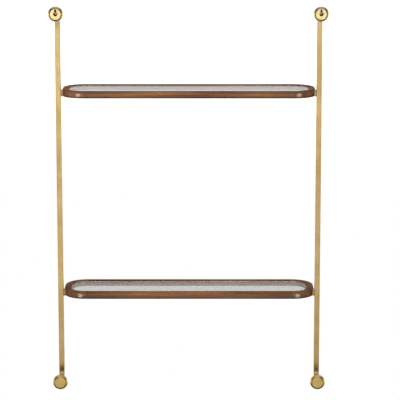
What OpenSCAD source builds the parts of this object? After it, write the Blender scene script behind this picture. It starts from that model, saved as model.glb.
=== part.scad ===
// Wall shelf with brackets: two wooden-rimmed glass shelves held between two square brass rails.
// The rails turn back to the wall at both ends. The top ends carry round hangers with keyholes
// for two wall screws, and the bottom ends rest on the wall on plain round feet.
// Frame: the origin lies on the wall plane, midway between the two keyhole entries.
// +Z is up, the wall is on +Y and the front is on -Y. Millimetres.

/* [Shelves] */
// Length of a shelf over its wooden rim
shelf_len = 609.6; // [450:0.1:900]
// Depth of a shelf over its wooden rim
shelf_depth = 140; // [125:1:200]
// Outer corner radius of the rim, seen from above
corner_r = 52.5; // [42:0.5:58]
// Gap between the wall and the back edge of a shelf
wall_gap = 27.5; // [22:0.5:45]
// Drop from the keyhole entries to the top of the upper shelf
upper_drop = 187; // [80:1:300]
// Distance from the top of the upper shelf to the top of the lower one
shelf_pitch = 490; // [200:1:600]

/* [Wooden rim] */
// Width of the rim, seen from above
rim_w = 21; // [18:0.5:26]
// Width of the ledge that carries the glass
ledge_w = 5; // [4:0.25:7]
// Thickness of the rim under the glass
ledge_t = 9; // [8.5:0.25:14]
// Rounding of the outer top and bottom edges
edge_r = 4; // [2:0.25:6]
// Rounding of the inner bottom edge
inner_edge_r = 2; // [0.5:0.25:3]
// Rounding of the edge round the glass
lip_edge_r = 0.8; // [0.3:0.1:1.5]
// Straight run from a corner's start to the joint with the long rails of the rim
joint_run = 2.5; // [1:0.5:20]

/* [Rim dowels] */
// Diameter of a dowel
dowel_d = 6; // [4:0.5:7]
// Length of a dowel, half of it on each side of the joint
dowel_len = 28; // [16:1:34]
// Glue gap round a dowel
dowel_fit = 0.05; // [0.02:0.01:0.15]
// Room left at each end of a dowel
dowel_end_room = 1; // [0.5:0.25:3]

/* [Glass] */
// Thickness of the glass
glass_t = 5; // [4:0.5:8]
// Depth of the glass top below the rim top
glass_drop = 2; // [0.5:0.25:4]
// Gap between the glass edge and the rim
glass_gap = 0.6; // [0.3:0.1:1.5]
// Ground chamfer on the edges of the glass
glass_chamfer = 0.6; // [0.2:0.1:1.2]
// Thickness of a bumper under the glass
bumper_t = 0.8; // [0.5:0.1:2]
// Diameter of a bumper
bumper_d = 4.4; // [3:0.2:4.8]
// Distance of the outer bumpers from the start of the corners
bumper_inset = 50; // [10:1:120]

/* [Rails] */
// Side of the square brass bar
bar = 12.7; // [10:0.1:16]
// Rounding of the long edges of the bar
bar_edge_r = 0.8; // [0.3:0.1:2]
// Inside radius of the bends at the top and bottom
bend_r = 8; // [4:0.5:14]
// Drop from the top legs to the bottom legs
rail_drop = 895; // [600:1:1100]
// Distance of the rail's centre line from the back edge of a shelf
rail_inset = 36; // [24:0.5:70]
// Gap between the rail and the furthest point of a shelf's end
rail_gap = 0.85; // [0.4:0.05:6]

/* [Shelf lugs] */
// Height of a lug between rail and rim
lug_h = 15.3; // [12:0.1:16.5]
// Width of a lug from front to back
lug_w = 8; // [7:0.25:12]
// Gap between a lug's hollowed face and the rim
lug_fit = 0.05; // [0.02:0.01:0.2]

/* [Shelf screws] */
// Thread diameter
mount_screw_d = 4; // [3:0.5:5]
// Diameter of the round head
mount_head_d = 7; // [5.5:0.1:7.2]
// Height of the round head
mount_head_h = 4; // [2:0.1:5]
// Width across the flats of the key socket
mount_key_w = 3; // [2:0.1:4]
// Depth of the key socket
mount_key_depth = 2; // [1:0.1:2.5]
// Outer diameter of the washer
washer_d = 7.6; // [7.4:0.1:8.4]
// Thickness of the washer
washer_t = 0.8; // [0.5:0.1:1.5]
// Wood left between the washer and the lug
mount_wood = 10.5; // [6:0.25:11]
// Gap round a washer in its counterbore
washer_room = 0.15; // [0.1:0.05:0.3]
// Gap round the thread where it passes through wood and lug
shank_room = 0.25; // [0.1:0.05:0.6]
// Metal left between a tapped hole and the rail's outer face
rail_skin = 1.7; // [1:0.1:3]
// Room left at the tip of a screw
tip_room = 0.8; // [0.4:0.1:2]
// Gap between a thread and its tapped hole
thread_fit = 0.05; // [0.02:0.01:0.1]

/* [Wall discs] */
// Largest diameter of the hangers and the feet
disc_d = 36; // [33:0.5:44]
// How far the rounded side swells out past the flat faces
disc_bulge = 5.6; // [2:0.1:5.9]
// Diameter of the spigot that holds a disc in its leg
spigot_d = 6; // [4:0.5:8]
// Length of the spigot
spigot_len = 14; // [6:1:25]
// Gap round the spigot in its bore
spigot_fit = 0.05; // [0.02:0.01:0.1]

/* [Keyholes] */
// Thickness of the lip that the head of a wall screw hooks behind
lip_t = 2.2; // [1.5:0.1:3]
// Room behind the lip for the head of a wall screw
head_room = 4.8; // [3.5:0.1:6]
// Brass left under the keyhole
keyhole_floor = 5; // [3:0.1:7]
// Diameter of the entry for the head of a wall screw
entry_d = 10; // [9.4:0.1:11]
// Width of the slot for the shank of a wall screw
slot_w = 4.6; // [4.2:0.1:5.5]
// Width of the undercut behind the lip
undercut_w = 9.2; // [8.4:0.1:10]
// Rise from the entry to the place where a wall screw hangs
slot_rise = 9.6; // [7:0.1:10]

/* [Hidden] */
$fn = 96;
// Overlap that keeps cutting shapes clear of the faces they cut
cut = 1;

// Rim section
rabbet_d = glass_drop + glass_t + bumper_t;
rim_h = ledge_t + rabbet_d;
end_r = min(corner_r, shelf_depth / 2 - joint_run);
inner_r = end_r - rim_w;
corner_x = shelf_len / 2 - end_r;
corner_y = shelf_depth / 2 - end_r;
joint_x = corner_x - joint_run;

// Glass
glass_len = shelf_len - 2 * (rim_w - ledge_w + glass_gap);
glass_depth = shelf_depth - 2 * (rim_w - ledge_w + glass_gap);
glass_r = inner_r + ledge_w - glass_gap;

// Rails
rail_x = shelf_len / 2 + rail_gap + bar / 2;
rail_y = -(wall_gap + rail_inset);
bend_mid_r = bend_r + bar / 2;
rail_inner_x = rail_x - bar / 2;

// Discs
disc_t = lip_t + head_room + keyhole_floor;
bulge_r = (pow(disc_t / 2, 2) + pow(disc_bulge, 2)) / (2 * disc_bulge);

// Shelf screws: how far in from the shelf's end a corner of radius r stands, at a given inset
function setback(r, inset) = inset >= r ? 0 : r - sqrt(r * r - pow(r - inset, 2));
rail_local_y = shelf_depth / 2 - rail_inset;
rim_x_at_rail = shelf_len / 2 - setback(end_r, rail_inset);
washer_seat_x = rim_x_at_rail - mount_wood;
tapped_depth = bar - rail_skin;
mount_screw_len = rail_inner_x + tapped_depth - tip_room - (washer_seat_x - washer_t);

// Height of a shelf's underside: 0 is the upper shelf, 1 the lower one
function shelf_bottom(level) = -upper_drop - level * shelf_pitch - rim_h;
function mount_z(level) = shelf_bottom(level) + ledge_t / 2;

BRASS = [0.84, 0.71, 0.45];
WALNUT = [0.47, 0.31, 0.20];
END_WALNUT = [0.40, 0.26, 0.17];
GLASS = [0.78, 0.82, 0.81, 0.45];
STEEL = [0.72, 0.72, 0.74];
BEECH = [0.80, 0.65, 0.46];
CLEAR = [0.88, 0.90, 0.90, 0.8];

// ---- Placing helpers ----

// Mirrors the right-hand piece to the left for side -1
module on_side(side) {
    mirror([side < 0 ? 1 : 0, 0, 0]) children();
}

// Moves a shelf, drawn round its own centre with its underside at 0, to its place
module at_shelf(level) {
    translate([0, -(wall_gap + shelf_depth / 2), shelf_bottom(level)]) children();
}

// A cylinder along +X
module rod_x(r, len) {
    rotate([0, 90, 0]) cylinder(r = r, h = len);
}

// A cylinder from the wall side towards the front, along -Y
module rod_front(r, len) {
    rotate([90, 0, 0]) cylinder(r = r, h = len);
}

// ---- Sections ----

// The waste outside a rounded corner of radius r, whose sharp corner is at 0, 0
module corner_waste(r) {
    difference() {
        translate([-r, -r]) square(r + cut);
        translate([-r, -r]) circle(r = r);
    }
}

// A w x h rectangle round 0, 0 with rounded corners
module rounded_section(w, h, r) {
    difference() {
        square([w, h], center = true);
        for (sx = [0, 1], sy = [0, 1])
            mirror([sx, 0]) mirror([0, sy]) translate([w / 2, h / 2]) corner_waste(r);
    }
}

// Half of a w x t rectangle with chamfered outer corners, from its middle line outwards
module half_pane_section(half_w) {
    polygon([[0, 0], [half_w - glass_chamfer, 0], [half_w, glass_chamfer],
        [half_w, glass_t - glass_chamfer], [half_w - glass_chamfer, glass_t], [0, glass_t]]);
}

// Section of the rim: its inner face on x = 0, its underside on y = 0
module rim_section() {
    difference() {
        square([rim_w, rim_h]);
        translate([-cut, ledge_t]) square([ledge_w + cut, rabbet_d + cut]);
        translate([rim_w, rim_h]) corner_waste(edge_r);
        translate([rim_w, 0]) mirror([0, 1]) corner_waste(edge_r);
        mirror([1, 0]) mirror([0, 1]) corner_waste(inner_edge_r);
        translate([ledge_w, rim_h]) mirror([1, 0]) corner_waste(lip_edge_r);
    }
}

// ---- Rails ----

// The bend and leg at the top of a rail, with the leg's axis on z = 0
module rail_end() {
    translate([0, rail_y + bend_mid_r, -bend_mid_r])
        rotate([90, 0, 90]) rotate([0, 0, 90])
            rotate_extrude(angle = 90) translate([bend_mid_r, 0])
                rounded_section(bar, bar, bar_edge_r);
    translate([0, -disc_t, 0])
        rotate([90, 0, 0])
            linear_extrude(height = -rail_y - bend_mid_r - disc_t)
                rounded_section(bar, bar, bar_edge_r);
}

// The right-hand rail: bent bar, tapped for the shelf screws and bored at its ends
module rail() {
    color(BRASS) translate([rail_x, 0, 0]) difference() {
        union() {
            translate([0, rail_y, -rail_drop + bend_mid_r])
                linear_extrude(height = rail_drop - 2 * bend_mid_r)
                    rounded_section(bar, bar, bar_edge_r);
            rail_end();
            translate([0, 0, -rail_drop]) mirror([0, 0, 1]) rail_end();
        }
        for (level = [0, 1])
            translate([-bar / 2 - cut, rail_y, mount_z(level)])
                rod_x(mount_screw_d / 2 + thread_fit, tapped_depth + cut);
        for (drop = [0, rail_drop])
            translate([0, cut - disc_t, -drop])
                rod_front(spigot_d / 2 + spigot_fit, spigot_len + tip_room + cut);
    }
}

// The right-hand lug of a shelf: a block on the rail, hollowed to the rim's rounded end
module lug(level) {
    color(BRASS) difference() {
        translate([corner_x, rail_y, shelf_bottom(level) + rim_h / 2])
            rotate([90, 0, 90])
                linear_extrude(height = rail_inner_x - corner_x)
                    rounded_section(lug_w, lug_h, bar_edge_r);
        at_shelf(level) translate([0, 0, -cut])
            linear_extrude(height = rim_h + 2 * cut)
                rounded_section(shelf_len + 2 * lug_fit, shelf_depth + 2 * lug_fit, end_r + lug_fit);
        translate([corner_x, rail_y, mount_z(level)])
            rod_x(mount_screw_d / 2 + shank_room, rail_inner_x - corner_x + cut);
    }
}

// ---- Wall discs ----

// Half section of a turned disc: flat faces and a rounded side, wall face on y = 0
module disc_half_section() {
    intersection() {
        translate([0, -disc_t]) square([disc_d, disc_t]);
        union() {
            translate([0, -disc_t]) square([disc_d / 2 - bulge_r, disc_t]);
            translate([disc_d / 2 - bulge_r, -disc_t / 2]) circle(r = bulge_r);
        }
    }
}

// A turned disc round the Y axis, with the spigot that goes in the rail's leg
module spigot_disc() {
    rotate([-90, 0, 0]) rotate_extrude() disc_half_section();
    translate([0, cut - disc_t, 0]) rod_front(spigot_d / 2, spigot_len + cut);
}

// A track of width w from the entry up to the place where a screw hangs
module keyhole_track(w, depth) {
    translate([-w / 2, -depth, 0]) cube([w, depth + cut, slot_rise]);
    translate([0, cut, slot_rise]) rod_front(w / 2, depth + cut);
}

// The right-hand hanger: a turned disc with a keyhole milled in its wall face
module hanger_disc() {
    color(BRASS) translate([rail_x, 0, 0]) difference() {
        spigot_disc();
        translate([0, cut, 0]) rod_front(entry_d / 2, lip_t + head_room + cut);
        keyhole_track(slot_w, lip_t + cut);
        translate([0, -lip_t - cut, 0]) keyhole_track(undercut_w, head_room - cut);
    }
}

// The right-hand foot: a plain turned disc
module foot_disc() {
    color(BRASS) translate([rail_x, 0, -rail_drop]) spigot_disc();
}

// ---- Shelves, drawn round their own centre with their underside at 0 ----

// A straight length of rim along X, centred, with its outer face on +Y
module rim_run(len) {
    translate([-len / 2, shelf_depth / 2 - rim_w, 0])
        rotate([90, 0, 90]) linear_extrude(height = len) rim_section();
}

// The places of the two dowels at a joint, measured from the rim's inner face and underside
module at_dowels() {
    inner_y = shelf_depth / 2 - rim_w;
    for (place = [[ledge_w, ledge_t / 2], [(ledge_w + rim_w) / 2, ledge_t]])
        translate([0, inner_y + place[0], place[1]]) children();
}

// All dowels of one shelf, or their holes, across the four joints
module dowel_set(r, len) {
    for (sx = [0, 1], sy = [0, 1])
        mirror([sx, 0, 0]) mirror([0, sy, 0])
            translate([joint_x - len / 2, 0, 0]) at_dowels() rod_x(r, len);
}

module dowel_holes() {
    dowel_set(dowel_d / 2 + dowel_fit, dowel_len + 2 * dowel_end_room);
}

// The straight back piece of the rim; the front one is its mirror image
module rim_long() {
    color(WALNUT) difference() {
        rim_run(2 * joint_x);
        dowel_holes();
    }
}

// One rounded corner of the rim with its short run up to the joint
module rim_corner() {
    translate([corner_x, corner_y, 0])
        rotate_extrude(angle = 90) translate([inner_r, 0]) rim_section();
    translate([joint_x, shelf_depth / 2 - rim_w, 0])
        rotate([90, 0, 90]) linear_extrude(height = joint_run) rim_section();
}

// The hole for a shelf screw, with a counterbore from inside the rim
module shelf_screw_hole() {
    translate([corner_x, rail_local_y, ledge_t / 2]) {
        rod_x(mount_screw_d / 2 + shank_room, end_r + cut);
        rod_x(washer_d / 2 + washer_room, washer_seat_x - corner_x);
    }
}

// The C-shaped right-hand end of the rim
module rim_end() {
    color(END_WALNUT) difference() {
        union() {
            rim_corner();
            mirror([0, 1, 0]) rim_corner();
            translate([shelf_len / 2 - rim_w, corner_y, 0])
                rotate([90, 0, 0]) linear_extrude(height = 2 * corner_y) rim_section();
        }
        dowel_holes();
        shelf_screw_hole();
    }
}

module dowels() {
    color(BEECH) dowel_set(dowel_d / 2, dowel_len);
}

// The glass: a slab each way and a round at each corner, all with the same ground chamfer
module glass_pane() {
    straight_x = glass_len / 2 - glass_r;
    straight_y = glass_depth / 2 - glass_r;
    color(GLASS) translate([0, 0, ledge_t + bumper_t]) {
        for (s = [0, 1]) {
            mirror([0, s, 0]) translate([-straight_x, 0, 0])
                rotate([90, 0, 90]) linear_extrude(height = 2 * straight_x)
                    half_pane_section(glass_depth / 2);
            mirror([s, 0, 0]) translate([0, straight_y, 0])
                rotate([90, 0, 0]) linear_extrude(height = 2 * straight_y)
                    half_pane_section(glass_len / 2);
        }
        for (sx = [-1, 1], sy = [-1, 1])
            translate([sx * straight_x, sy * straight_y, 0])
                rotate_extrude() half_pane_section(glass_r);
    }
}

// Clear bumpers on the ledge under the glass
module bumpers() {
    color(CLEAR) for (sx = [-1, 0, 1], sy = [-1, 1])
        translate([sx * (corner_x - bumper_inset), sy * (shelf_depth / 2 - rim_w + ledge_w / 2), ledge_t])
            cylinder(d = bumper_d, h = bumper_t);
}

// Both cap screws of a shelf, with their heads inside the rim
module shelf_screws() {
    color(STEEL) for (side = [0, 1]) mirror([side, 0, 0])
        translate([washer_seat_x - washer_t, rail_local_y, ledge_t / 2]) difference() {
            union() {
                rod_x(mount_screw_d / 2, mount_screw_len);
                translate([-mount_head_h, 0, 0]) rod_x(mount_head_d / 2, mount_head_h);
            }
            translate([-mount_head_h - cut, 0, 0]) rotate([0, 90, 0])
                cylinder(d = mount_key_w / cos(30), h = mount_key_depth + cut, $fn = 6);
        }
}

module washers() {
    color(STEEL) for (side = [0, 1]) mirror([side, 0, 0])
        translate([washer_seat_x - washer_t, rail_local_y, ledge_t / 2]) difference() {
            rod_x(washer_d / 2, washer_t);
            translate([-cut, 0, 0]) rod_x(mount_screw_d / 2 + thread_fit, washer_t + 2 * cut);
        }
}

// ---- Sub-parts, one module for each node ----

module rail_left() on_side(-1) rail();
module rail_right() on_side(1) rail();
module upper_lug_left() on_side(-1) lug(0);
module upper_lug_right() on_side(1) lug(0);
module lower_lug_left() on_side(-1) lug(1);
module lower_lug_right() on_side(1) lug(1);
module hanger_disc_left() on_side(-1) hanger_disc();
module hanger_disc_right() on_side(1) hanger_disc();
module foot_disc_left() on_side(-1) foot_disc();
module foot_disc_right() on_side(1) foot_disc();

module upper_rim_front() at_shelf(0) mirror([0, 1, 0]) rim_long();
module upper_rim_back() at_shelf(0) rim_long();
module upper_rim_end_left() at_shelf(0) on_side(-1) rim_end();
module upper_rim_end_right() at_shelf(0) on_side(1) rim_end();
module upper_dowels() at_shelf(0) dowels();
module upper_glass() at_shelf(0) glass_pane();
module upper_bumpers() at_shelf(0) bumpers();
module upper_shelf_screws() at_shelf(0) shelf_screws();
module upper_washers() at_shelf(0) washers();

module lower_rim_front() at_shelf(1) mirror([0, 1, 0]) rim_long();
module lower_rim_back() at_shelf(1) rim_long();
module lower_rim_end_left() at_shelf(1) on_side(-1) rim_end();
module lower_rim_end_right() at_shelf(1) on_side(1) rim_end();
module lower_dowels() at_shelf(1) dowels();
module lower_glass() at_shelf(1) glass_pane();
module lower_bumpers() at_shelf(1) bumpers();
module lower_shelf_screws() at_shelf(1) shelf_screws();
module lower_washers() at_shelf(1) washers();

rail_left();
rail_right();
upper_lug_left();
upper_lug_right();
lower_lug_left();
lower_lug_right();
hanger_disc_left();
hanger_disc_right();
foot_disc_left();
foot_disc_right();
upper_rim_front();
upper_rim_back();
upper_rim_end_left();
upper_rim_end_right();
upper_dowels();
upper_glass();
upper_bumpers();
upper_shelf_screws();
upper_washers();
lower_rim_front();
lower_rim_back();
lower_rim_end_left();
lower_rim_end_right();
lower_dowels();
lower_glass();
lower_bumpers();
lower_shelf_screws();
lower_washers();
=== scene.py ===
"""Looks of the wall shelf with brackets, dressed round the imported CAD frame.

Metres, in the CAD's own frame: +Z up, the wall on +Y, the front on -Y. The origin lies midway
between the two keyhole entries. The camera stands on the wall side, as the photographer did.
"""
import math

import bpy
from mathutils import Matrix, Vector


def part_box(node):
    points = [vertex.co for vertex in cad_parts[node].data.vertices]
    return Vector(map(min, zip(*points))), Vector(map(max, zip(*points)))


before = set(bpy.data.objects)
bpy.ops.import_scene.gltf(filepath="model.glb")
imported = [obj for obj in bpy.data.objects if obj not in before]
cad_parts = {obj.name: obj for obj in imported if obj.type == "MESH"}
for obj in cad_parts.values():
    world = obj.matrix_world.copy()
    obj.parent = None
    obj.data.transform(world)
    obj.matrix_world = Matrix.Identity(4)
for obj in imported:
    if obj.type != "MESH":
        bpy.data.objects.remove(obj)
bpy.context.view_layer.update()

# ---- Sizes taken from the frame ----
RAIL_LOW, RAIL_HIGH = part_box("rail_right")
FOOT_LOW, FOOT_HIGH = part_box("foot_disc_right")
RAIL_X = (RAIL_LOW.x + RAIL_HIGH.x) / 2
BAR = RAIL_HIGH.x - RAIL_LOW.x
RAIL_Y = RAIL_LOW.y + BAR / 2
FOOT_Z = (FOOT_LOW.z + FOOT_HIGH.z) / 2
DISC_R = (FOOT_HIGH.z - FOOT_LOW.z) / 2

# ---- Camera ----
CAMERA_AT = (-0.04, 4.5, 0.45)
CAMERA_TILT_DEG = 10.04
CAMERA_LENS_MM = 173.2
CAMERA_SHIFT = (-0.0135, -0.10)

# ---- Studio ----
FLOOR_DROP = 0.95
FLOOR_HALF = 40.0
# Reflections see their own studio. Its floor is dim near the object: metres from the middle
FLOOR_NEAR_RANGE = (1.4, 3.2)
FLOOR_NEAR_LEVEL = (0.14, 0.66)
FLOOR_FAR_RANGE = (3.5, 13.0)
FLOOR_FAR_LEVEL = (0.0, 0.78)
# Its room dims upwards and is bright again overhead: Z of the way out
ROOM_DIM_RANGE = (0.05, 0.55)
ROOM_DIM_LEVEL = (0.72, 0.28)
ROOM_TOP_RANGE = (0.6, 1.0)
ROOM_TOP_LEVEL = (0.0, 0.5)
# On the camera's side the far floor is brighter towards +X: slope is X over Y
CAMERA_SIDE_RANGE = (1.0, 3.0)
LEAST_Y = 0.5
SLANT_LIMIT = 0.09
SLANT_SWING = 0.72
# A bright patch lies far off on the floor, towards -X
GLOW_RANGE = (14.0, 18.0)
GLOW_SLOPE = (-0.03, -0.055)
GLOW_LEVEL = 1.3
# Left and right of the way behind the camera the studio is dark: radians from +Y
SIDE_DARK = 0.96
SIDE_START = (0.14, 0.32)
SIDE_END = (0.85, 1.25)
# That darkness sets in with metres along the floor, and fades with height in the room
SIDE_FLOOR_RANGE = (2.4, 5.5)
SIDE_TOP_RANGE = (0.35, 0.75)
# In front of the object the room is dark a little above level, and that fades high up
FRONT_DARK = 0.75
FRONT_RANGE = (0.05, 0.45)
FRONT_RISE = (0.16, 0.24)
ROOM_TINT = (0.92, 0.94, 0.97)
ROOM_LIGHT = 0.5
PAINT_DEEP = (0.84, 0.84, 0.83)
PAINT_LIGHT = (0.88, 0.88, 0.87)
# Soft lamps light the whole object and don't show in reflections
MIDDLE = (0, -0.08, -0.45)
SOFTBOX_SIZE = (1.4, 1.4)
KEY_AT = (1.9, 3.0, 1.7)
KEY_WATTS = 75
FILL_AT = (-1.9, 3.0, 1.7)
FILL_WATTS = 50
FRONT_AT = (0.6, -3.0, 1.6)
FRONT_SIZE = (1.6, 1.2)
FRONT_WATTS = 40
# Two strips show in reflections only, and only on the wooden rims
STRIP_AT = (1.55, 2.5, -1.0)
STRIP_SIZE = (1.0, 1.2)
STRIP_WATTS = 60


def make_camera():
    """A long lens on the wall side, a little above the shelf, looking down at it."""
    data = bpy.data.cameras.new("camera")
    data.lens = CAMERA_LENS_MM
    data.shift_x, data.shift_y = CAMERA_SHIFT
    data.dof.use_dof = False
    camera = bpy.data.objects.new("camera", data)
    camera.location = CAMERA_AT
    camera.rotation_euler = (math.radians(90 - CAMERA_TILT_DEG), 0, math.radians(180))
    bpy.context.scene.collection.objects.link(camera)
    bpy.context.scene.camera = camera


# ---- Node helpers ----


class Tree:
    """A material's or world's node tree, with one short call for each node."""

    def __init__(self, owner):
        owner.use_nodes = True
        self.tree = owner.node_tree
        self.tree.nodes.clear()

    def add(self, kind, inputs=None, **settings):
        """A node of that kind. An input is a number, a colour or another node's socket."""
        node = self.tree.nodes.new(kind)
        for key, value in settings.items():
            setattr(node, key, value)
        for key, value in (inputs or {}).items():
            self.put(node.inputs[key], value)
        return node

    def put(self, socket, value):
        """Links a socket, or sets a number or colour on the input itself."""
        if isinstance(value, bpy.types.NodeSocket):
            self.tree.links.new(value, socket)
        else:
            socket.default_value = value

    def math(self, operation, a, b=0.0, clamp=False):
        node = self.add("ShaderNodeMath", {0: a, 1: b}, operation=operation, use_clamp=clamp)
        return node.outputs[0]

    def distance(self, a, b):
        """The distance that two sides at a right angle span."""
        squares = self.math("ADD", self.math("POWER", a, 2), self.math("POWER", b, 2))
        return self.math("SQRT", squares)

    def split(self, vector):
        """The X, Y and Z sockets of a vector."""
        return self.add("ShaderNodeSeparateXYZ", {0: vector}).outputs

    def place(self):
        """The place on the object, in metres."""
        return self.add("ShaderNodeTexCoord").outputs["Object"]

    def scaled(self, vector, scale, shift=(0, 0, 0)):
        node = self.add("ShaderNodeMapping", {"Vector": vector, "Scale": scale, "Location": shift})
        return node.outputs[0]

    def noise(self, vector, scale=1.0, detail=3.0, rough=0.5, distortion=0.0):
        node = self.add("ShaderNodeTexNoise", {"Vector": vector, "Scale": scale, "Detail": detail,
                                               "Roughness": rough, "Distortion": distortion})
        return node.outputs["Fac"]

    def remap(self, value, low, high, to_low=0.0, to_high=1.0):
        node = self.add("ShaderNodeMapRange", {"Value": value, "From Min": low, "From Max": high,
                                               "To Min": to_low, "To Max": to_high})
        return node.outputs[0]

    def ramp(self, value, stops):
        node = self.add("ShaderNodeValToRGB", {"Fac": value})
        elements = node.color_ramp.elements
        for index, (position, colour) in enumerate(stops):
            element = elements[index] if index < 2 else elements.new(position)
            element.position = position
            element.color = (*colour, 1)
        return node.outputs["Color"]

    def mix(self, factor, a, b, blend="MIX"):
        node = self.add("ShaderNodeMix", data_type="RGBA", blend_type=blend)
        for socket, value in zip((node.inputs[0], node.inputs[6], node.inputs[7]), (factor, a, b)):
            self.put(socket, value)
        return node.outputs[2]

    def bump(self, height, strength, distance, under=None):
        inputs = {"Height": height, "Strength": strength, "Distance": distance}
        if under is not None:
            inputs["Normal"] = under
        return self.add("ShaderNodeBump", inputs).outputs[0]

    def surface(self, shader):
        self.add("ShaderNodeOutputMaterial", {"Surface": shader.outputs[0]})


def srgb(red, green, blue):
    """An 8-bit display colour as linear light."""
    def linear(value):
        value = value / 255
        return value / 12.92 if value <= 0.04045 else ((value + 0.055) / 1.055) ** 2.4
    return (linear(red), linear(green), linear(blue))


def rgba(colour):
    return (*colour, 1.0)


def new_material(name):
    material = bpy.data.materials.new(name)
    return material, Tree(material)


# Ranges that hold most of a noise's values, or its middle for a stronger contrast
NOISE_RANGE = (0.3, 0.7)
CLOUD_RANGE = (0.35, 0.68)
WEAR_RANGE = (0.4, 0.7)


# ---- Brass ----
BRASS_LIGHT = srgb(238, 206, 142)
BRASS_DEEP = srgb(222, 184, 114)
LUG_LIGHT = srgb(220, 190, 158)
LUG_DEEP = srgb(190, 156, 122)
HANGER_LIGHT = srgb(236, 214, 162)
HANGER_DEEP = srgb(222, 192, 134)
FOOT_LIGHT = srgb(252, 218, 138)
FOOT_DEEP = srgb(242, 202, 118)
LUG_ROUGHER = 0.1
FOOT_ROUGHER = 0.08
PAINTED_FLOOR_LIGHT = srgb(238, 214, 162)
PAINTED_SLOT_SHADE = srgb(84, 60, 24)
# Painted light and shade: the floor of the round entry is painted bright above and inside of its middle,
# and the keyhole round it is painted dark as shade, metres
LIT_FLOOR_AT = 0.0011
LIT_FLOOR_RANGE = (0.0014, 0.0044)
# A keyhole's milled brass lies behind the wall face and inside of the disc's edge, metres; its colour
# there is painted light and shade
MILLED_DEPTH = (-0.0004, -0.0012)
MILLED_EDGE = (DISC_R * 0.83, DISC_R * 0.79)
MILLED_ROUGHER = 0.25
BRUSHED_ROUGHNESS = (0.24, 0.34)
TURNED_ROUGHNESS = (0.15, 0.22)
# How much rougher handling makes the metal
WEAR = 0.05
# Where the brushing turns from the upright to the legs, metres of Y
LEG_RANGE = (RAIL_Y + BAR * 0.8, RAIL_Y + BAR * 1.6)
# Strokes and rings to the metre, across and along them
STROKES_ACROSS = 2600
STROKES_ALONG = 14
RINGS_OUT = 2400
RINGS_DOWN = 900


def brushed_brass(name, light, deep, roughness_shift):
    """Bar stock brushed along its length: down the upright, and towards the wall on the legs."""
    material, t = new_material(name)
    here = t.place()
    on_leg = t.remap(t.split(here)["Y"], *LEG_RANGE)
    down = t.noise(t.scaled(here, (STROKES_ACROSS, STROKES_ACROSS, STROKES_ALONG)), detail=2)
    back = t.noise(t.scaled(here, (STROKES_ACROSS, STROKES_ALONG, STROKES_ACROSS)), detail=2)
    strokes = t.mix(on_leg, down, back)
    clouds = t.noise(here, scale=26, detail=4, rough=0.6)
    handling = t.noise(here, scale=9, detail=2)
    colour = t.mix(t.remap(clouds, *CLOUD_RANGE), rgba(light), rgba(deep))
    worn = t.remap(handling, *WEAR_RANGE, roughness_shift, roughness_shift + WEAR)
    roughness = t.math("ADD", t.remap(strokes, *NOISE_RANGE, *BRUSHED_ROUGHNESS), worn)
    shader = t.add("ShaderNodeBsdfPrincipled", {
        "Base Color": colour, "Metallic": 1.0, "Roughness": roughness,
        "Coat Weight": 0.15, "Coat Roughness": 0.2,
        "Normal": t.bump(strokes, strength=0.35, distance=0.00003)})
    t.surface(shader)
    return material


def turned_brass(name, light, deep, roughness_shift):
    """Polished brass with the fine rings that the lathe leaves round each disc's axis."""
    material, t = new_material(name)
    here = t.place()
    part = t.split(here)
    across = t.math("SUBTRACT", t.math("ABSOLUTE", part["X"]), RAIL_X)
    up = t.math("MINIMUM", t.math("ABSOLUTE", part["Z"]),
                t.math("ABSOLUTE", t.math("SUBTRACT", part["Z"], FOOT_Z)))
    radius = t.distance(across, up)
    ring_place = t.add("ShaderNodeCombineXYZ", {"X": radius, "Y": part["Y"]}).outputs[0]
    rings = t.noise(t.scaled(ring_place, (RINGS_OUT, RINGS_DOWN, 1)), detail=2)
    clouds = t.noise(here, scale=60, detail=3)
    milled_and_shaded = t.math("MULTIPLY", t.remap(part["Y"], *MILLED_DEPTH), t.remap(radius, *MILLED_EDGE))
    colour = t.mix(t.remap(clouds, *CLOUD_RANGE), rgba(light), rgba(deep))
    from_floor = t.distance(t.math("ADD", across, LIT_FLOOR_AT),
                            t.math("SUBTRACT", part["Z"], LIT_FLOOR_AT))
    # Painted light and shade inside the keyhole: a lit floor, and painted shade in the slot and round the
    # entry
    keyhole_light_and_shade = t.mix(t.remap(from_floor, *LIT_FLOOR_RANGE), rgba(PAINTED_FLOOR_LIGHT), rgba(PAINTED_SLOT_SHADE))
    colour = t.mix(milled_and_shaded, colour, keyhole_light_and_shade)
    handled = t.remap(clouds, *WEAR_RANGE, roughness_shift, roughness_shift + WEAR)
    polish = t.math("ADD", t.remap(rings, *NOISE_RANGE, *TURNED_ROUGHNESS), handled)
    roughness = t.math("ADD", polish, t.math("MULTIPLY", milled_and_shaded, MILLED_ROUGHER))
    shader = t.add("ShaderNodeBsdfPrincipled", {
        "Base Color": colour, "Metallic": 1.0, "Roughness": roughness,
        "Coat Weight": 0.15, "Coat Roughness": 0.1,
        "Normal": t.bump(rings, strength=0.3, distance=0.00002)})
    t.surface(shader)
    return material


# ---- Walnut ----
WALNUT_STOPS = (
    (0.0, srgb(56, 32, 17)),
    (0.3, srgb(90, 54, 29)),
    (0.55, srgb(120, 77, 42)),
    (0.8, srgb(146, 98, 56)),
    (1.0, srgb(166, 118, 72)),
)
# Noise to the metre, along the grain and across it, from broad to fine
DRIFT_SCALE = (3.5, 26, 26)
RING_SCALE = (5, 170, 170)
FIBRE_SCALE = (38, 1500, 1500)
PORE_SCALE = (70, 2600, 2600)
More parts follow.
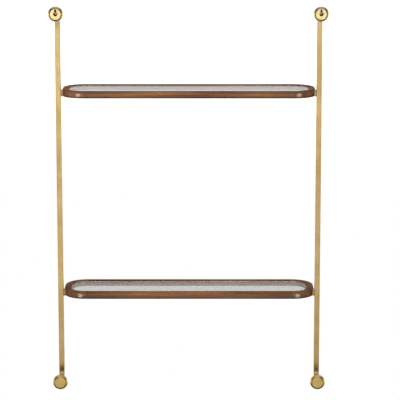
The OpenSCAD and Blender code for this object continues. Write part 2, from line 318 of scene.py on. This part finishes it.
# The figure is so much drift, and growth rings for the rest
DRIFT_SHARE = 0.55
FIGURE_RANGE = (0.32, 0.68)
FIGURE_LEVEL = (0.12, 0.82)
FIBRE_LEVEL = (-0.12, 0.12)
PORE = srgb(44, 27, 18)
PORE_RANGE = (0.60, 0.72)
PORE_LEVEL = (0.0, 0.55)
PORE_ROUGHER = 0.2
WALNUT_ROUGHNESS = (0.38, 0.5)
# Painted shade: each board darkens towards its ends, where the light falls off, metres from the middle
BOARD_END_RANGE = (0.10, 0.24)
BOARD_END_SHADE = 0.64
# Painted shade and light: the lower edge of the rim is painted darker and its upper part lighter, as on a
# rounded edge lit from above, metres from the rim's middle
LOW_EDGE_RANGE = (-0.0065, 0.004)
LOW_EDGE_LIGHT_AND_SHADE = (0.62, 1.12)
# The middle of the edge is rubbed bright
RUBBED_RANGE = (0.001, 0.006)
RUBBED_SHARE = (1.0, 0.12)
# The oil film shines where a face is seen straight on, and is dull along the surface
OIL_RANGE = (0.25, 0.6)
OIL_WEIGHT = (0.6, 0.0)


def walnut(name, shift, tone, middle_z):
    """Oiled walnut as a solid, with its grain along X, so that cut ends show end grain."""
    material, t = new_material(name)
    here = t.add("ShaderNodeVectorMath", {0: t.place(), 1: shift}, operation="ADD").outputs[0]
    drift = t.noise(t.scaled(here, DRIFT_SCALE), detail=3, rough=0.55)
    rings = t.noise(t.scaled(here, RING_SCALE), detail=3, rough=0.6, distortion=0.6)
    fibre = t.noise(t.scaled(here, FIBRE_SCALE), detail=2, rough=0.6)
    pores = t.noise(t.scaled(here, PORE_SCALE), detail=1)
    figure = t.math("ADD", t.math("MULTIPLY", drift, DRIFT_SHARE),
                    t.math("MULTIPLY", rings, 1 - DRIFT_SHARE))
    value = t.math("ADD", t.remap(figure, *FIGURE_RANGE, *FIGURE_LEVEL),
                   t.remap(fibre, *NOISE_RANGE, *FIBRE_LEVEL), clamp=True)
    colour = t.ramp(value, WALNUT_STOPS)
    pore_mask = t.remap(pores, *PORE_RANGE, *PORE_LEVEL)
    colour = t.mix(pore_mask, colour, rgba(PORE))
    part = t.split(t.place())
    along = t.math("ABSOLUTE", part["X"])
    up = t.math("SUBTRACT", part["Z"], middle_z)
    # Painted shade: each board is darker towards its ends
    shade = t.remap(along, *BOARD_END_RANGE, tone, tone * BOARD_END_SHADE)
    # Painted shade and light: the rim's lower edge darker, its upper part lighter
    shade = t.math("MULTIPLY", shade, t.remap(up, *LOW_EDGE_RANGE, *LOW_EDGE_LIGHT_AND_SHADE))
    colour = t.mix(1.0, colour, shade, blend="MULTIPLY")
    roughness = t.math("ADD", t.remap(fibre, *NOISE_RANGE, *WALNUT_ROUGHNESS),
                       t.math("MULTIPLY", pore_mask, PORE_ROUGHER))
    fibre_relief = t.bump(fibre, strength=0.15, distance=0.00006)
    relief = t.bump(pore_mask, strength=-0.25, distance=0.00012, under=fibre_relief)
    facing = t.add("ShaderNodeLayerWeight", {"Blend": 0.5}).outputs["Facing"]
    rubbed = t.remap(t.math("ABSOLUTE", up), *RUBBED_RANGE, *RUBBED_SHARE)
    oil = t.math("MULTIPLY", t.remap(facing, *OIL_RANGE, *OIL_WEIGHT), rubbed)
    shader = t.add("ShaderNodeBsdfPrincipled", {
        "Base Color": colour, "Roughness": roughness, "Normal": relief,
        "Specular IOR Level": 0.1, "Coat Weight": oil, "Coat Roughness": 0.2})
    t.surface(shader)
    return material


# ---- Glass, silicone, steel and beech ----
GLASS_BODY = (0.77, 0.735, 0.71)
GLASS_SMUDGE = (0.76, 0.74, 0.72)
# The share of the pane that fine dust covers
GLASS_DUST = (0.08, 0.14)
DUST = (0.80, 0.76, 0.72)
GLASS_SHADE = (0.74, 0.75, 0.74)
SMUDGE_RANGE = (0.5, 0.8)
SMUDGE_LEVEL = (0.0, 0.04)
# The share of a bumper that isn't seen straight through
SILICONE_BODY = (0.10, 0.16)
SILICONE_DEEP = (0.46, 0.44, 0.40)
SILICONE_LIGHT = (0.56, 0.54, 0.50)
SILICONE_CLEAR = (0.93, 0.92, 0.90)
SILICONE_ROUGHNESS = (0.35, 0.5)
STEEL_DEEP = (0.55, 0.55, 0.56)
STEEL_LIGHT = (0.70, 0.70, 0.69)
STEEL_ROUGHNESS = (0.28, 0.42)
BEECH_DEEP = srgb(176, 138, 98)
BEECH_LIGHT = srgb(214, 180, 138)
BEECH_SCALE = (60, 900, 900)
BEECH_ROUGHNESS = (0.5, 0.65)


def clear_glass():
    """Float glass: waviness, smudges and dust, a warm grey body, and shadows that let light by."""
    material, t = new_material("clear_glass")
    here = t.place()
    smudge = t.remap(t.noise(here, scale=14, detail=3, rough=0.6), *SMUDGE_RANGE, *SMUDGE_LEVEL)
    ripple = t.noise(here, scale=8, detail=1)
    pane = t.add("ShaderNodeBsdfPrincipled", {
        "Base Color": t.mix(smudge, rgba(GLASS_BODY), rgba(GLASS_SMUDGE)), "Roughness": smudge,
        "IOR": 1.5, "Transmission Weight": 1.0, "Normal": t.bump(ripple, strength=0.02, distance=0.0002)})
    dust = t.add("ShaderNodeBsdfDiffuse", {"Color": rgba(DUST)})
    settled = t.remap(t.noise(here, scale=12, detail=2), *NOISE_RANGE, *GLASS_DUST)
    dusty = t.add("ShaderNodeMixShader", {0: settled, 1: pane.outputs[0], 2: dust.outputs[0]})
    clear = t.add("ShaderNodeBsdfTransparent", {"Color": rgba(GLASS_SHADE)})
    is_shadow = t.add("ShaderNodeLightPath").outputs["Is Shadow Ray"]
    both = t.add("ShaderNodeMixShader", {0: is_shadow, 1: dusty.outputs[0], 2: clear.outputs[0]})
    t.surface(both)
    return material


def clear_silicone():
    """Clear silicone: a faint cloudy body that is mostly seen straight through."""
    material, t = new_material("clear_silicone")
    cloud = t.noise(t.place(), scale=300, detail=3)
    shader = t.add("ShaderNodeBsdfPrincipled", {
        "Base Color": t.mix(cloud, rgba(SILICONE_DEEP), rgba(SILICONE_LIGHT)),
        "Roughness": t.remap(cloud, *NOISE_RANGE, *SILICONE_ROUGHNESS), "IOR": 1.41})
    through = t.add("ShaderNodeBsdfTransparent", {"Color": rgba(SILICONE_CLEAR)})
    body = t.remap(cloud, *NOISE_RANGE, *SILICONE_BODY)
    t.surface(t.add("ShaderNodeMixShader", {0: body, 1: through.outputs[0], 2: shader.outputs[0]}))
    return material


def plated_steel():
    """Zinc-plated steel with a fine crystalline grain."""
    material, t = new_material("plated_steel")
    grain = t.noise(t.place(), scale=900, detail=3)
    shader = t.add("ShaderNodeBsdfPrincipled", {
        "Base Color": t.mix(grain, rgba(STEEL_DEEP), rgba(STEEL_LIGHT)),
        "Metallic": 1.0, "Roughness": t.remap(grain, *NOISE_RANGE, *STEEL_ROUGHNESS),
        "Normal": t.bump(grain, strength=0.2, distance=0.00003)})
    t.surface(shader)
    return material


def beech():
    """Plain beech with its grain along X, as the dowels lie."""
    material, t = new_material("beech")
    grain = t.noise(t.scaled(t.place(), BEECH_SCALE), detail=3)
    shader = t.add("ShaderNodeBsdfPrincipled", {
        "Base Color": t.mix(grain, rgba(BEECH_DEEP), rgba(BEECH_LIGHT)),
        "Roughness": t.remap(grain, *NOISE_RANGE, *BEECH_ROUGHNESS),
        "Normal": t.bump(grain, strength=0.2, distance=0.00005)})
    t.surface(shader)
    return material


# ---- Dressing the CAD nodes ----
RAILS = ("rail_left", "rail_right")
LUGS = ("upper_lug_left", "upper_lug_right", "lower_lug_left", "lower_lug_right")
HANGERS = ("hanger_disc_left", "hanger_disc_right")
FEET = ("foot_disc_left", "foot_disc_right")
SHELVES = ("upper", "lower")
# Where each piece of rim was cut from the board, and how light it is
RIM_CUTS = {"front": ((0.13, 0.31, 0.07), 0.95), "back": ((0.52, 0.64, 0.19), 1.25),
            "end_left": ((0.37, 0.83, 0.41), 1.6), "end_right": ((0.93, 0.47, 0.67), 1.6)}
LOWER_SHELF_SHIFT = 1.7
LOWER_SHELF_TONE = 0.78


def dress(node, material):
    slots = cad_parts[node].data.materials
    slots.clear()
    slots.append(material)


def dress_all():
    """Gives each CAD node its material. Every board of the rims has a figure of its own."""
    brasses = (
        (RAILS, brushed_brass("brushed_brass", BRASS_LIGHT, BRASS_DEEP, 0.0)),
        (LUGS, brushed_brass("brazed_brass", LUG_LIGHT, LUG_DEEP, LUG_ROUGHER)),
        (HANGERS, turned_brass("turned_brass", HANGER_LIGHT, HANGER_DEEP, 0.0)),
        (FEET, turned_brass("turned_foot_brass", FOOT_LIGHT, FOOT_DEEP, FOOT_ROUGHER)),
    )
    for nodes, material in brasses:
        for node in nodes:
            dress(node, material)
    glass = clear_glass()
    silicone = clear_silicone()
    steel = plated_steel()
    small = {"dowels": beech(), "glass": glass, "bumpers": silicone,
             "shelf_screws": steel, "washers": steel}
    for index, shelf in enumerate(SHELVES):
        for piece, (shift, tone) in RIM_CUTS.items():
            moved = tuple(value + index * LOWER_SHELF_SHIFT for value in shift)
            level_tone = tone * (LOWER_SHELF_TONE if index else 1.0)
            rim_z = [corner.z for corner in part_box(f"{shelf}_rim_{piece}")]
            board = walnut(f"walnut_{shelf}_{piece}", moved, level_tone, sum(rim_z) / 2)
            dress(f"{shelf}_rim_{piece}", board)
        for piece, material in small.items():
            dress(f"{shelf}_{piece}", material)


# ---- Floor, world and lamps ----
def backdrop_shader(t, kind, reflected):
    """White for the camera and through glass, and the studio's own level in reflections."""
    path = t.add("ShaderNodeLightPath").outputs
    seen = t.math("MAXIMUM", path["Is Camera Ray"], path["Is Transmission Ray"])
    level = t.math("MAXIMUM", seen, reflected)
    white = t.add(kind, {"Color": rgba((1, 1, 1)), "Strength": level})
    return white, t.math("MAXIMUM", seen, path["Is Glossy Ray"])


def side_mask(t, across, ahead):
    """1 to the left and right of the way behind the camera, 0 along it, beside and in front."""
    turn = t.math("ARCTAN2", t.math("ABSOLUTE", across), ahead)
    return t.math("MULTIPLY", t.remap(turn, *SIDE_START), t.remap(turn, *SIDE_END, 1.0, 0.0))


def darken(t, level, mask, amount):
    """The level, cut by the mask's share of the sides' darkness."""
    cut = t.math("MULTIPLY", t.math("MULTIPLY", mask, amount), SIDE_DARK)
    return t.math("MULTIPLY", level, t.math("SUBTRACT", 1.0, cut))


def floor_material():
    """Pale paint that keeps shadows, and in reflections falls off towards the object's foot."""
    material, t = new_material("pale_floor")
    here = t.place()
    speckle = t.noise(here, scale=3, detail=4)
    paint = t.add("ShaderNodeBsdfDiffuse", {
        "Color": t.mix(speckle, rgba(PAINT_DEEP), rgba(PAINT_LIGHT))})
    away = t.add("ShaderNodeVectorMath", {0: here}, operation="LENGTH").outputs["Value"]
    part = t.split(here)
    slope = t.math("DIVIDE", part["X"], t.math("MAXIMUM", part["Y"], LEAST_Y))
    slope = t.math("MULTIPLY", slope, t.remap(part["Y"], *CAMERA_SIDE_RANGE))
    slant = t.remap(slope, -SLANT_LIMIT, SLANT_LIMIT, 1 - SLANT_SWING, 1 + SLANT_SWING)
    near = t.remap(away, *FLOOR_NEAR_RANGE, *FLOOR_NEAR_LEVEL)
    far = t.math("MULTIPLY", t.remap(away, *FLOOR_FAR_RANGE, *FLOOR_FAR_LEVEL), slant)
    side = side_mask(t, part["X"], part["Y"])
    glow = t.math("MULTIPLY", t.remap(away, *GLOW_RANGE, 0.0, GLOW_LEVEL), t.remap(slope, *GLOW_SLOPE))
    bright = t.math("ADD", t.math("ADD", near, far), glow)
    level = darken(t, bright, side, t.remap(away, *SIDE_FLOOR_RANGE))
    white, is_seen = backdrop_shader(t, "ShaderNodeEmission", level)
    t.surface(t.add("ShaderNodeMixShader", {0: is_seen, 1: paint.outputs[0], 2: white.outputs[0]}))
    return material


def make_floor():
    """A wide plain floor, as far below the feet as under a shelf on a wall."""
    z = FOOT_LOW.z - FLOOR_DROP
    corners = [(-FLOOR_HALF, -FLOOR_HALF, 0), (FLOOR_HALF, -FLOOR_HALF, 0),
               (FLOOR_HALF, FLOOR_HALF, 0), (-FLOOR_HALF, FLOOR_HALF, 0)]
    mesh = bpy.data.meshes.new("floor")
    mesh.from_pydata(corners, [], [(0, 1, 2, 3)])
    mesh.materials.append(floor_material())
    floor = bpy.data.objects.new("floor", mesh)
    floor.location = (0, 0, z)
    bpy.context.scene.collection.objects.link(floor)


def make_world():
    """A white backdrop, an even soft room for light, and a shaded room for reflections."""
    world = bpy.data.worlds.new("studio")
    bpy.context.scene.world = world
    t = Tree(world)
    way = t.add("ShaderNodeTexCoord").outputs["Generated"]
    part = t.split(way)
    dim = t.remap(part["Z"], *ROOM_DIM_RANGE, *ROOM_DIM_LEVEL)
    top = t.remap(part["Z"], *ROOM_TOP_RANGE, *ROOM_TOP_LEVEL)
    side = side_mask(t, part["X"], part["Y"])
    level = darken(t, t.math("ADD", dim, top), side, t.remap(part["Z"], *SIDE_TOP_RANGE, 1.0, 0.0))
    front = t.remap(t.math("MULTIPLY", part["Y"], -1.0), *FRONT_RANGE, 1.0, 1.0 - FRONT_DARK)
    above = t.math("ADD", t.remap(part["Z"], *FRONT_RISE, 1.0, 0.0), t.remap(part["Z"], *SIDE_TOP_RANGE))
    level = t.math("MULTIPLY", level, t.math("MAXIMUM", front, above))
    white, is_seen = backdrop_shader(t, "ShaderNodeBackground", level)
    room = t.add("ShaderNodeBackground", {"Color": rgba(ROOM_TINT), "Strength": ROOM_LIGHT})
    both = t.add("ShaderNodeMixShader", {0: is_seen, 1: room.outputs[0], 2: white.outputs[0]})
    t.add("ShaderNodeOutputWorld", {"Surface": both.outputs[0]})


def rim_collection():
    """The wooden rims as a collection, for the strips of light that fall on them alone."""
    rims = bpy.data.collections.new("rims")
    for shelf in SHELVES:
        for piece in RIM_CUTS:
            rims.objects.link(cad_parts[f"{shelf}_rim_{piece}"])
    return rims


def make_lamp(name, place, size, watts, lit_only=None):
    """A soft lamp aimed at the shelf's middle. With lit_only it only shows in reflections there."""
    data = bpy.data.lights.new(name, "AREA")
    data.shape = "RECTANGLE"
    data.size, data.size_y = size
    data.energy = watts
    lamp = bpy.data.objects.new(name, data)
    lamp.location = place
    direction = [a - b for a, b in zip(MIDDLE, place)]
    flat = math.hypot(direction[0], direction[1])
    pitch = math.atan2(flat, -direction[2])
    lamp.rotation_euler = (pitch, 0, math.atan2(-direction[0], direction[1]))
    lamp.visible_glossy = lit_only is not None
    lamp.visible_diffuse = lit_only is None
    lamp.visible_transmission = False
    if lit_only is not None:
        lamp.light_linking.receiver_collection = lit_only
    bpy.context.scene.collection.objects.link(lamp)


def make_lamps():
    make_lamp("key_softbox", KEY_AT, SOFTBOX_SIZE, KEY_WATTS)
    make_lamp("fill_softbox", FILL_AT, SOFTBOX_SIZE, FILL_WATTS)
    rims = rim_collection()
    for name, side in (("left_strip", 1), ("right_strip", -1)):
        place = (side * STRIP_AT[0], STRIP_AT[1], STRIP_AT[2])
        make_lamp(name, place, STRIP_SIZE, STRIP_WATTS, lit_only=rims)
    make_lamp("front_softbox", FRONT_AT, FRONT_SIZE, FRONT_WATTS)


bpy.context.scene.view_settings.view_transform = "Standard"
make_camera()
dress_all()
make_floor()
make_world()
make_lamps()
